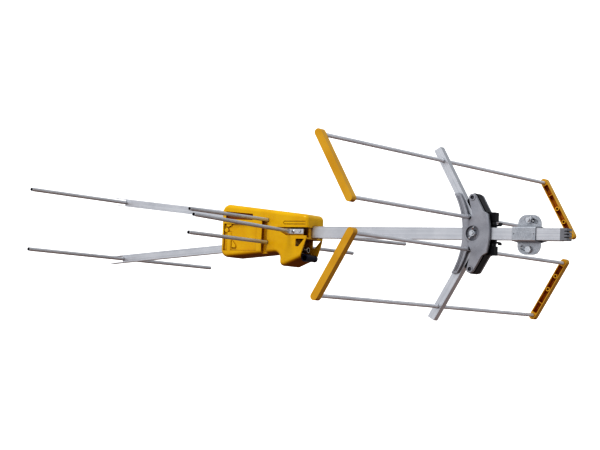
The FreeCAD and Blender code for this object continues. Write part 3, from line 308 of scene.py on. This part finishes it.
def plated_metal(name, pale, dull, roughness, edge=0.0004):
    """A plated metal: a fine spangle, a slow stain and rolled grain under it."""
    material, start, surface = new_finish(name, metallic=1.0)
    place = start.node("ShaderNodeTexCoord", result="Object")
    cells = {"Vector": place, "Scale": SPANGLE_PER_M}
    spangle = start.node("ShaderNodeTexVoronoi", {}, cells, result="Distance")
    stain = start.noise(place, STAIN_PER_M, detail=5.0, roughness=0.6)
    grain = start.noise(place, ROLLED_GRAIN_PER_M, detail=2.0)
    bloom = STAIN_SHARE * stain + (1 - STAIN_SHARE) * spangle
    tone = start.mix(bloom.between(*PLATE_TONE_EDGE), dull + (1,), pale + (1,))
    feed(
        start,
        surface,
        # the base colour carries painted shade in corners and hollows
        base_color=paint_crevice_shade(start, PLATE_PAINTED_SHADE_REACH, tone, PLATE_PAINTED_SHADE),
        roughness=roughness - PLATE_SHEEN + STAIN_HAZE * stain,
        normal=relief(start, grain + SPANGLE_HEIGHT * spangle, PLATE_DEPTH, edge),
    )
    return material


clamp_zinc = plated_metal(
    "clamp_zinc", pale=(0.60, 0.62, 0.65), dull=(0.42, 0.44, 0.47), roughness=0.34
)
bolt_zinc = plated_metal(
    "bolt_zinc", pale=(0.80, 0.81, 0.83), dull=(0.60, 0.62, 0.65), roughness=0.22, edge=0.00025
)
dress(clamp_zinc, "boom_saddle", "mast_bracket", "mast_jaw")
dress(bolt_zinc, "jaw_bolt_front", "jaw_bolt_rear", "jaw_nut_front", "jaw_nut_rear")
dress(bolt_zinc, "tilt_bolt_upper", "tilt_bolt_lower", "tilt_nut_lower", "tilt_wing_nut")
dress(bolt_zinc, "tilt_washer_upper", "tilt_washer_lower")

# Jaw bolt threads: rolled ridges that wind up the shank from its tip, over the length that the
# nut travels, and stand a little proud of it. Steel, zinc plated with the bolt.
JAW_SHANK = 0.00281
JAW_PITCH = 0.001
JAW_RIDGE = 0.00022
JAW_PLAIN_TIP = 0.0008
JAW_THREAD_LENGTH = 0.0125
STEPS_PER_TURN = 24
RIDGE_SIDES = 4


def thread_tree():
    """Geometry nodes for a ridge that winds up from the origin along Z."""
    tree = bpy.data.node_groups.new("rolled_thread", "GeometryNodeTree")
    tree.interface.new_socket("Geometry", in_out="OUTPUT", socket_type="NodeSocketGeometry")
    for name in ("Shank Radius", "Pitch", "Length", "Ridge"):
        tree.interface.new_socket(name, in_out="INPUT", socket_type="NodeSocketFloat")
    tree.interface.new_socket("Metal", in_out="INPUT", socket_type="NodeSocketMaterial")
    start = Signal(tree)
    given = tree.nodes.new("NodeGroupInput").outputs
    sizes = {item.name: Signal(tree, item) for item in given if item.name}
    spiral = start.node(
        "GeometryNodeCurveSpiral",
        {},
        {
            "Resolution": STEPS_PER_TURN,
            "Rotations": sizes["Length"] / sizes["Pitch"],
            "Start Radius": sizes["Shank Radius"],
            "End Radius": sizes["Shank Radius"],
            "Height": sizes["Length"],
        },
    )
    section = start.node(
        "GeometryNodeCurvePrimitiveCircle",
        {"mode": "RADIUS"},
        {"Resolution": RIDGE_SIDES, "Radius": sizes["Ridge"]},
    )
    wound = start.node(
        "GeometryNodeCurveToMesh",
        {},
        {"Curve": spiral, "Profile Curve": section, "Fill Caps": True},
    )
    real = start.node("GeometryNodeRealizeInstances", {}, {"Geometry": wound})
    metal = {"Geometry": real, "Material": sizes["Metal"]}
    clad = start.node("GeometryNodeSetMaterial", {}, metal)
    tree.links.new(clad.socket, tree.nodes.new("NodeGroupOutput").inputs[0])
    return tree


def fit_piece(name, mesh, body):
    """Puts a finished mesh in the scene as a piece that rides on its body."""
    piece = bpy.data.objects.new(name, mesh)
    bpy.context.scene.collection.objects.link(piece)
    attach(piece, body)
    return piece


def wind_thread(name, body, metal, foot, along, shank, pitch, length, ridge):
    """A thread from its foot along an axis, made a plain mesh that rides on its body."""
    blank = bpy.data.objects.new(name + "_blank", bpy.data.meshes.new(name + "_blank"))
    bpy.context.scene.collection.objects.link(blank)
    winding = blank.modifiers.new("thread", "NODES")
    winding.node_group = THREAD
    values = {
        "Shank Radius": shank,
        "Pitch": pitch,
        "Length": length,
        "Ridge": ridge,
        "Metal": metal,
    }
    for item in THREAD.interface.items_tree:
        if item.in_out == "INPUT":
            winding[item.identifier] = values[item.name]
    ready = blank.evaluated_get(bpy.context.evaluated_depsgraph_get())
    mesh = bpy.data.meshes.new_from_object(ready)
    bpy.data.objects.remove(blank)
    turned = Vector((0, 0, 1)).rotation_difference(Vector(along)).to_matrix().to_4x4()
    mesh.transform(Matrix.Translation(foot) @ turned)
    fit_piece(name, mesh, body)


THREAD = thread_tree()
for place in ("front", "rear"):
    low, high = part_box(f"jaw_bolt_{place}")
    wind_thread(
        f"jaw_thread_{place}",
        "mast_side",
        bolt_zinc,
        foot=((low[0] + high[0]) / 2, low[1] + JAW_PLAIN_TIP, 0),
        along=(0, 1, 0),
        shank=JAW_SHANK,
        pitch=JAW_PITCH,
        length=JAW_THREAD_LENGTH,
        ridge=JAW_RIDGE,
    )

# Reflector bracket: two mirrored castings bolted through the boom, with hollow crescents, horns
# along the arms and ringed lugs. Pressure cast aluminium, tumbled to an even satin grey.
CAST_PALE = (0.46, 0.47, 0.50, 1)
CAST_DULL = (0.34, 0.35, 0.38, 1)
CAST_TONE_EDGE = (0.32, 0.66)
# painted shade: the colour that corners and hollows are darkened to, and how far it reaches
CAST_PAINTED_SHADE = (0.10, 0.10, 0.12, 1)
CAST_PAINTED_SHADE_REACH = 0.006
CAST_METAL = 0.85
CAST_HAZE = 0.42
CAST_CLOUD_PER_M = 45.0
CAST_CLOUD_SHARE = 0.6
CAST_CLOUD_HAZE = 0.16
CAST_PITS_PER_M = 700.0
CAST_PIT_DEPTH = 0.00008
CAST_EDGE = 0.0006

bracket_casting, start, surface = new_finish("bracket_casting", metallic=CAST_METAL)
spot = start.node("ShaderNodeTexCoord", result="Object")
cloud = start.noise(spot, CAST_CLOUD_PER_M, detail=5.0, roughness=0.55)
pits = start.noise(spot, CAST_PITS_PER_M, detail=4.0, roughness=0.7)
tumbled = CAST_CLOUD_SHARE * cloud + (1 - CAST_CLOUD_SHARE) * pits
satin = start.mix(tumbled.between(*CAST_TONE_EDGE), CAST_DULL, CAST_PALE)
feed(
    start,
    surface,
    # the base colour carries painted shade in corners and hollows
    base_color=paint_crevice_shade(start, CAST_PAINTED_SHADE_REACH, satin, CAST_PAINTED_SHADE),
    roughness=CAST_HAZE + CAST_CLOUD_HAZE * cloud,
    normal=relief(start, pits, CAST_PIT_DEPTH, CAST_EDGE),
)
dress(bracket_casting, "bracket_shell_near", "bracket_shell_far")
dress(bolt_zinc, "bracket_bolt", "bracket_washer", "bracket_wing_nut")

# Latch levers: two black moulded levers that cam against the arms and lock them. Each turns on a
# dull steel pin in the lugs of the castings.
latch_black = moulded(
    "latch_black",
    body=(0.004, 0.004, 0.007),
    deep=(0.008, 0.008, 0.012),
    painted_shade=(0.001, 0.001, 0.001),
    roughness=0.34,
    specular_ior_level=0.3,
)
pin_steel = plated_metal(
    "pin_steel", pale=(0.20, 0.20, 0.22), dull=(0.12, 0.12, 0.14), roughness=0.35
)
dress(latch_black, "latch_upper", "latch_lower")
dress(pin_steel, "latch_pin_upper", "latch_pin_lower")

# Reflector arms and rods: two square aluminium tubes that fold along the boom, drawn and left
# bare as it is, and four round tubes pushed through them. The rods are hazier and paler.
ARM_SPREAD = 59.6
ROD_FINISH = {"turn_z": 90.0, "edge": 0.0, "haze": 0.42, "metallic": 0.7}
rod_aluminium = drawn_aluminium("rod_aluminium", bright=1.16, **ROD_FINISH)
for side, lean in (("upper", -ARM_SPREAD), ("lower", ARM_SPREAD)):
    dress(drawn_aluminium(f"arm_aluminium_{side}", turn_y=lean), f"reflector_arm_{side}")
    dress(rod_aluminium, f"reflector_rod_{side}_inner", f"reflector_rod_{side}_outer")

# End bars: four moulded channels pushed on the rod ends, open on the inside, with rings round the
# rods. Glossy orange plastic, with painted shade: its hollow is painted darker, and its underside
# is painted a darker orange.
bar_orange = moulded(
    "bar_orange",
    body=(0.71, 0.41, 0.028),
    deep=(0.64, 0.35, 0.018),
    painted_shade=(0.48, 0.10, 0.0),
    roughness=0.24,
    reach=0.010,
    edge=0.0,
    underside_shade=(0.42, 0.15, 0.002),
    specular_ior_level=0.3,
)
for side in ("upper", "lower"):
    dress(bar_orange, f"end_bar_{side}_near", f"end_bar_{side}_far")

# Dipole box: a stepped yellow shell and a snap cover moulded in one colour, semi gloss, with the
# finest mould texture. The floor of the sunk field in each broad side is painted brown as painted
# shade, its corners and hollows are painted darker, and its underside is painted a darker brown
# as shade.
# corners of the sunk field whose floor is painted brown as painted shade
SUNK_FIELD_SHADE = ((0.5105, 0.0130, 0.0140), (0.5760, 0.0715, 0.0360))
box_yellow = moulded(
    "box_yellow",
    body=(0.81, 0.50, 0.004),
    deep=(0.75, 0.43, 0.0),
    painted_shade=(0.26, 0.07, 0.0),
    roughness=0.24,
    reach=0.022,
    edge=0.0007,
    underside_shade=(0.34, 0.13, 0.0),
    shade_field=SUNK_FIELD_SHADE,
    specular_ior_level=0.3,
)
dress(box_yellow, "box_body", "box_cover")

# Nose catches: a round stud and two wedge hooks in the sunk panel of each broad side, which the
# cover snaps over. They are moulded in one with the box, and their edges are rounded.
PANELS = ((0.0695, 1), (0.0155, -1))  # each panel's y, and the way it faces
# each step's share of the outline, and its height over the panel
CATCH_STEPS = ((1.0, -0.0004), (1.0, 0.0018), (0.93, 0.0023), (0.80, 0.0026))
STUD_SPOT = (0.5702, 0.0010)
STUD_RADIUS = 0.0042
STUD_SIDES = 40
HOOK_UPPER = (
    (0.5710, 0.0117), (0.5600, 0.0117), (0.5600, 0.0093), (0.5668, 0.0060), (0.5710, 0.0086)
)
HOOK_LOWER = ((0.5585, -0.0160), (0.5500, -0.0262), (0.5500, -0.0300), (0.5585, -0.0300))


def circle(radius, sides):
    """Points at even steps round a circle about the origin."""
    turns = (math.tau * step / sides for step in range(sides))
    return [(radius * math.cos(turn), radius * math.sin(turn)) for turn in turns]


def raise_catch(verts, faces, outline, panel_y, outward):
    """A low block over an outline of x and z, narrowed in steps towards its top."""
    count = len(outline)
    middle = [sum(spot[axis] for spot in outline) / count for axis in (0, 1)]
    first = len(verts)
    for share, tall in CATCH_STEPS:
        for spot in outline:
            x, z = (centre + share * (value - centre) for value, centre in zip(spot, middle))
            verts.append((x, panel_y + outward * tall, z))
    onward = outline[1:] + outline[:1]
    area = sum(a[0] * b[1] - b[0] * a[1] for a, b in zip(outline, onward))
    way = -1 if area * outward > 0 else 1
    for level in range(len(CATCH_STEPS) - 1):
        low, high = first + level * count, first + (level + 1) * count
        for step in range(count):
            after = (step + 1) % count
            faces.append((low + step, low + after, high + after, high + step)[::way])
    top = first + (len(CATCH_STEPS) - 1) * count
    faces.append(tuple(range(top, top + count))[::way])
    faces.append(tuple(range(first, first + count))[::-way])


stud = tuple((STUD_SPOT[0] + x, STUD_SPOT[1] + z) for x, z in circle(STUD_RADIUS, STUD_SIDES))
catch_verts, catch_faces = [], []
for panel_y, outward in PANELS:
    for outline in (stud, HOOK_UPPER, HOOK_LOWER):
        raise_catch(catch_verts, catch_faces, outline, panel_y, outward)
catch_mesh = bpy.data.meshes.new("nose_catches")
catch_mesh.from_pydata(catch_verts, [], catch_faces)
catch_mesh.materials.append(box_yellow)
fit_piece("nose_catches", catch_mesh, "boom")

# Feed board: a green glass fibre board behind the yellow wall, which joins the dipole halves to
# the socket. Its screening can is tinned steel, soldered on.
board_green = moulded(
    "board_green",
    body=(0.02, 0.12, 0.04),
    deep=(0.03, 0.16, 0.05),
    painted_shade=(0.01, 0.05, 0.02),
    roughness=0.3,
)
dress(board_green, "balun_board")
dress(bolt_zinc, "balun_can")

# Coax socket: a turned brass barrel in the box's rear bay, nickel plated. The plug screws onto
# the fine rolled thread along it.
SOCKET_SHANK = 0.00475
SOCKET_PITCH = 0.0008
SOCKET_RIDGE = 0.00018
SOCKET_PLAIN_END = 0.0006
SOCKET_THREAD_LENGTH = 0.012
socket_nickel = plated_metal(
    "socket_nickel", pale=(0.62, 0.59, 0.53), dull=(0.48, 0.45, 0.40), roughness=0.2
)
dress(socket_nickel, "coax_socket")
low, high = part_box("coax_socket")
wind_thread(
    "socket_thread",
    "boom",
    socket_nickel,
    foot=(low[0] + SOCKET_PLAIN_END, (low[1] + high[1]) / 2, (low[2] + high[2]) / 2),
    along=(1, 0, 0),
    shank=SOCKET_SHANK,
    pitch=SOCKET_PITCH,
    length=SOCKET_THREAD_LENGTH,
    ridge=SOCKET_RIDGE,
)

# Rubber boot: a black moulded sleeve that slides over the plug to keep the rain out. It hangs
# below the socket by an eye round the socket's base.
boot_rubber = moulded(
    "boot_rubber",
    body=(0.003, 0.004, 0.018),
    deep=(0.005, 0.006, 0.024),
    painted_shade=(0.001, 0.001, 0.002),
    roughness=0.36,
    specular_ior_level=0.25,
)
dress(boot_rubber, "rubber_boot")

# Dipole halves: two round aluminium tubes swept back a little, each with a flattened blade held
# in the box by a screw and a rivet. They are a shade darker than the reflector's rods.
element_aluminium = drawn_aluminium("element_aluminium", bright=0.94, **ROD_FINISH)
dress(element_aluminium, "dipole_rod_near", "dipole_rod_far")
dress(bolt_zinc, "dipole_rivet_near", "dipole_rivet_far")

# Dipole screws: pan heads with a cross recess, driven through the blades into the box. Steel,
# zinc plated. Their shanks are left plain, because the box hides them.
HEAD_DOME = 0.0022
HEAD_CROWN = 3.2
HEAD_RINGS = 18
HEAD_SIDES = 72
CROSS_ARM = 0.0021
CROSS_HALF_WIDTH = 0.00042
CROSS_SUNK = 0.0011
SHANK_SHARE = 0.5


def pan_head(name, node, outward):
    """A domed screw head with a cross recess, over a plain shank."""
    low, high = (Vector(corner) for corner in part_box(node))
    centre = (low + high) / 2
    face = high.y if outward > 0 else low.y
    radius = (high.x - low.x) / 2
    verts = [(0.0, 0.0, HEAD_DOME - CROSS_SUNK)]
    for ring in range(1, HEAD_RINGS + 1):
        reach = radius * ring / HEAD_RINGS
        tall = HEAD_DOME * math.sqrt(max(0.0, 1 - (reach / radius) ** HEAD_CROWN))
        for u, v in circle(reach, HEAD_SIDES):
            across, beside = max(abs(u), abs(v)), min(abs(u), abs(v))
            in_cross = across < CROSS_ARM and beside < CROSS_HALF_WIDTH
            verts.append((u, v, tall - CROSS_SUNK if in_cross else tall))
    for depth in (0.0, (high.y - low.y) - HEAD_DOME):
        verts += [(u, v, -depth) for u, v in circle(radius * SHANK_SHARE, HEAD_SIDES)]
    faces = [(0, 1 + step, 1 + (step + 1) % HEAD_SIDES) for step in range(HEAD_SIDES)]
    for ring in range(HEAD_RINGS + 1):
        here, onward = 1 + ring * HEAD_SIDES, 1 + (ring + 1) * HEAD_SIDES
        for step in range(HEAD_SIDES):
            after = (step + 1) % HEAD_SIDES
            faces.append((here + step, onward + step, onward + after, here + after))
    last = 1 + (HEAD_RINGS + 1) * HEAD_SIDES
    faces.append(tuple(last + step for step in reversed(range(HEAD_SIDES))))
    mesh = bpy.data.meshes.new(name)
    mesh.from_pydata(verts, [], faces)
    spot = Vector((centre.x, face - outward * HEAD_DOME, centre.z))
    turned = Vector((0, 0, 1)).rotation_difference(Vector((0, outward, 0))).to_matrix().to_4x4()
    mesh.transform(Matrix.Translation(spot) @ turned)
    mesh.materials.append(bolt_zinc)
    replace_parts(fit_piece(name, mesh, "boom"), node)


pan_head("pan_screw_near", "dipole_screw_near", 1)
pan_head("pan_screw_far", "dipole_screw_far", -1)

# Director arms and directors: two square tubes that fork from the box's nose, a short rod pair
# through the box, and a long pair in slots at the arms' tips. Drawn aluminium, left bare.
FORK_SPREAD = 5.5
for side, lean in (("upper", -FORK_SPREAD), ("lower", FORK_SPREAD)):
    dress(drawn_aluminium(f"fork_aluminium_{side}", turn_y=lean), f"director_arm_{side}")
    dress(element_aluminium, f"short_director_{side}", f"front_director_{side}")

# Floor: a round pale sheet well below the aerial. It takes no part in the reflections, and it is
# clear from its back, so that the aerial can be seen from below.
FLOOR_DROP = 0.5
FLOOR_RADIUS = 2.4
FLOOR_SIDES = 96
FLOOR_HAZE = 0.9
FLOOR_DRIFT_PER_M = 3.0
FLOOR_PALE = (0.80, 0.80, 0.80, 1)
FLOOR_PALER = (0.84, 0.84, 0.84, 1)

floor_mesh = bpy.data.meshes.new("floor")
rim = [(x, y, -FLOOR_DROP) for x, y in circle(FLOOR_RADIUS, FLOOR_SIDES)]
floor_mesh.from_pydata(rim, [], [list(range(FLOOR_SIDES))])
floor = bpy.data.objects.new("floor", floor_mesh)
bpy.context.scene.collection.objects.link(floor)
floor_paint, start, surface = new_finish("floor_paint", roughness=FLOOR_HAZE)
drift = start.noise(start.node("ShaderNodeTexCoord", result="Object"), FLOOR_DRIFT_PER_M)
back_side = start.node("ShaderNodeNewGeometry", result="Backfacing")
pale = start.mix(drift, FLOOR_PALE, FLOOR_PALER)
feed(start, surface, base_color=pale, alpha=1.0 - back_side)
floor_mesh.materials.append(floor_paint)
floor.visible_diffuse = False
floor.visible_glossy = False

# Light: one soft lamp above the near side, in a room that is brightest beside and above the near
# rods and falls away to a warm, dark ground. The camera itself sees plain white.
LAMP_PLACE = Vector((0.3, 2.4, 2.6))
LAMP_TARGET = Vector((0.3, 0, 0))
LAMP_WIDTH = 1.2
LAMP_HEIGHT = 1.0
LAMP_WATTS = 33
ROOM_BRIGHT = Vector((0.10, 0.80, 0.60))
ROOM_MEAN = 0.48
ROOM_SWING = 0.20
ROOM_COOL = (0.96, 0.98, 1.02, 1)
GROUND_LEVEL = 0.12
GROUND_EDGE = (-0.98, -0.30)
GROUND_WARM = (1.0, 0.42, 0.2, 1)
WARM_EDGE = (-0.9, -0.1)
UNLIT = (0, 0, 0, 1)
BACKDROP = (1.05, 1.05, 1.05, 1)

lamp = bpy.data.lights.new("key_light", "AREA")
lamp.shape = "RECTANGLE"
lamp.size = LAMP_WIDTH
lamp.size_y = LAMP_HEIGHT
lamp.energy = LAMP_WATTS
key_light = bpy.data.objects.new("key_light", lamp)
lamp_turn = (LAMP_TARGET - LAMP_PLACE).to_track_quat("-Z", "Y").to_matrix().to_4x4()
key_light.matrix_world = Matrix.Translation(LAMP_PLACE) @ lamp_turn
key_light.visible_camera = False
bpy.context.scene.collection.objects.link(key_light)

world = bpy.data.worlds.new("room")
world.use_nodes = True
bpy.context.scene.world = world
room = Signal(world.node_tree)
direction = room.node("ShaderNodeTexCoord", result="Generated")
height = room.node("ShaderNodeSeparateXYZ", {}, {"Vector": direction}, result="Z")
dot = {"operation": "DOT_PRODUCT"}
toward = room.node("ShaderNodeVectorMath", dot, {0: direction, 1: ROOM_BRIGHT}, result="Value")
above_ground = GROUND_LEVEL + (1 - GROUND_LEVEL) * height.between(*GROUND_EDGE)
level = (ROOM_MEAN + ROOM_SWING * toward) * above_ground
tint = room.mix(height.between(*WARM_EDGE), GROUND_WARM, ROOM_COOL)
seen = room.node("ShaderNodeLightPath", result="Is Camera Ray")
shown = room.mix(seen, room.mix(level, UNLIT, tint), BACKDROP)
world.node_tree.links.new(shown.socket, world.node_tree.nodes["Background"].inputs["Color"])

bpy.context.scene.view_settings.view_transform = "Standard"
bpy.context.scene.view_settings.look = "High Contrast"
